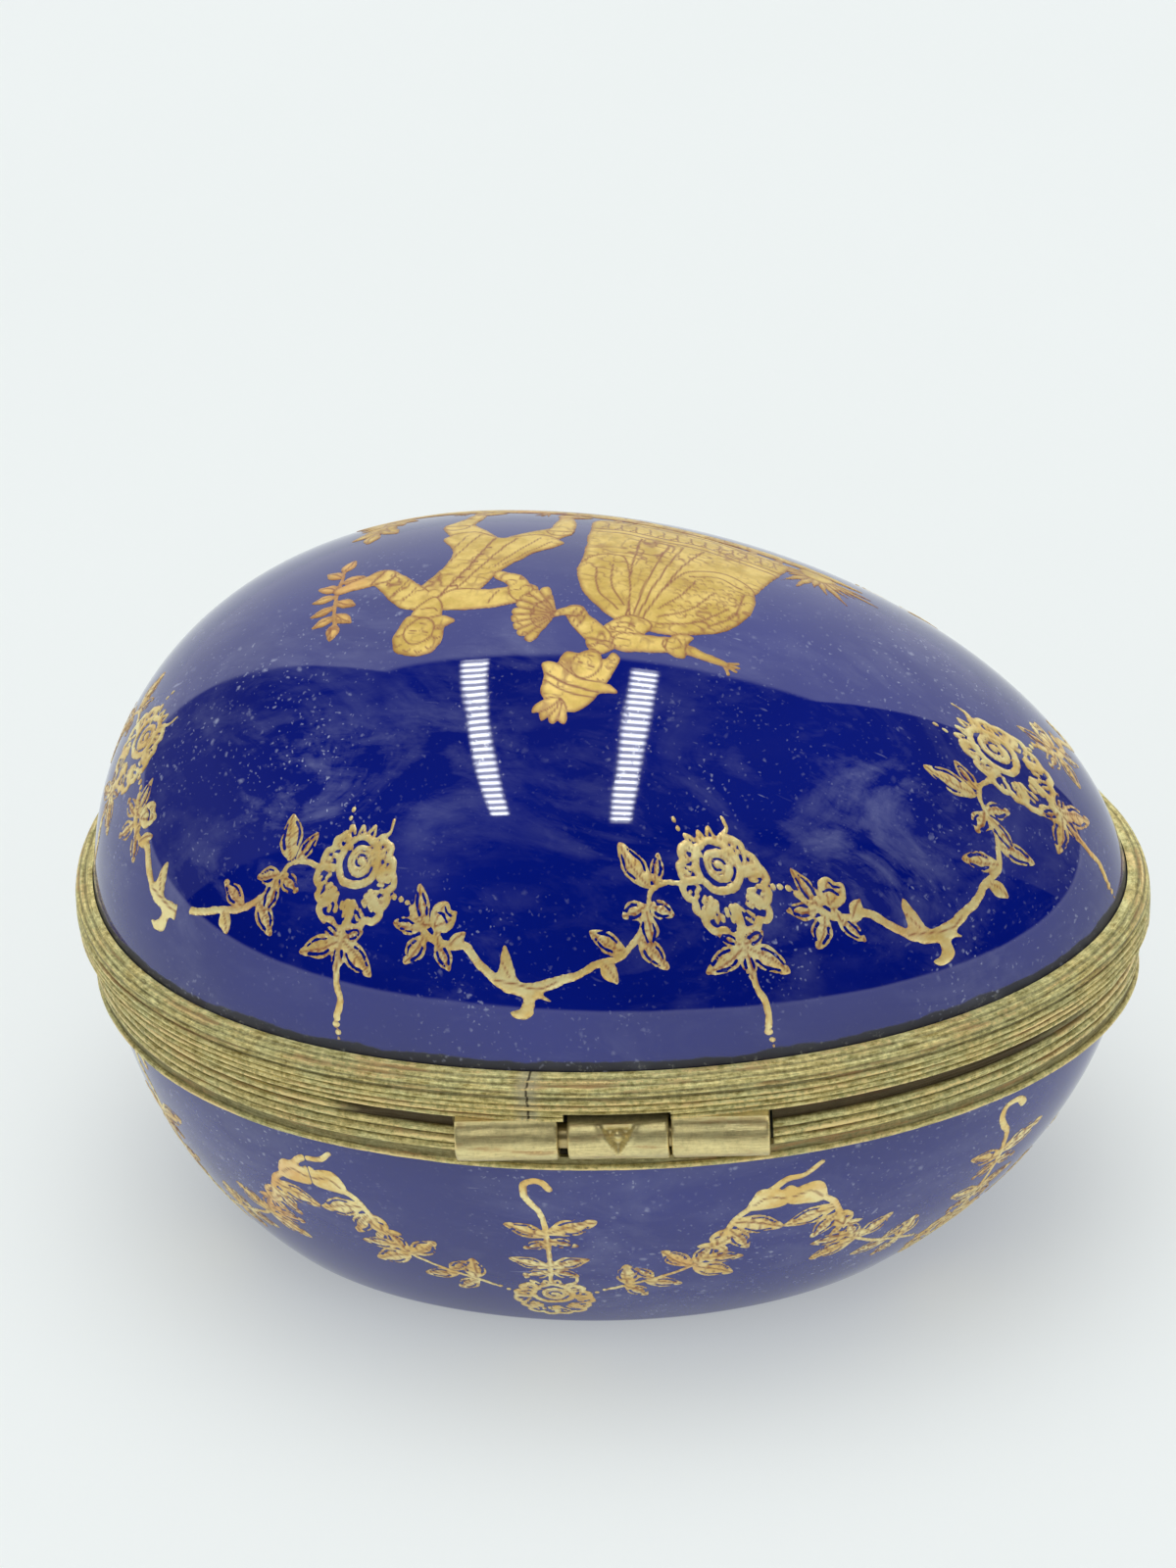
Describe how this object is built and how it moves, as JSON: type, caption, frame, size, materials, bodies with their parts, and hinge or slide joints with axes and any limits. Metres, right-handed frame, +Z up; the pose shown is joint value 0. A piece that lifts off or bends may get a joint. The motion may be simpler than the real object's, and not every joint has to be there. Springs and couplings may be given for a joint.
{
  "type": "porcelain trinket box",
  "caption": "Egg-shaped porcelain trinket box in cobalt glaze with gilt garlands, a ribbed brass mount and a hinged lid that opens on a hollow, lined inside.",
  "frame": {"origin": "middle of the whole box in plan, hinge and clasp included, on the surface that the foot stands on", "axes": "+X towards the egg's pointed end, +Y towards the clasp and away from the hinge, +Z up"},
  "size_m": [0.0848, 0.0666, 0.0558],
  "materials": {
    "cobalt_glaze": "deep cobalt blue glaze, high gloss, with gilt decoration",
    "aged_brass": "patinated ribbed brass, satin",
    "pin_brass": "drawn brass wire, satin",
    "cement": "matt jeweller's cement"
  },
  "bodies": {
    "base": {"base_porcelain": "cobalt_glaze", "base_mount": "aged_brass", "base_bedding": "cement", "base_locating_lip": "aged_brass", "base_hinge_knuckle": "aged_brass", "hinge_pin": "pin_brass", "clasp_stud": "aged_brass"},
    "lid": {"lid_porcelain": "cobalt_glaze", "lid_mount": "aged_brass", "lid_bedding": "cement", "lid_hinge_knuckle_left": "aged_brass", "lid_hinge_knuckle_right": "aged_brass", "clasp_tongue": "aged_brass"}
  },
  "joints": [
    {"name": "lid_hinge", "type": "hinge", "parent": "base", "child": "lid", "pos_m": [0.00757, -0.02926, 0.02621], "axis": [0.978, 0.2084, 0], "range_deg": [0, 105]}
  ]
}
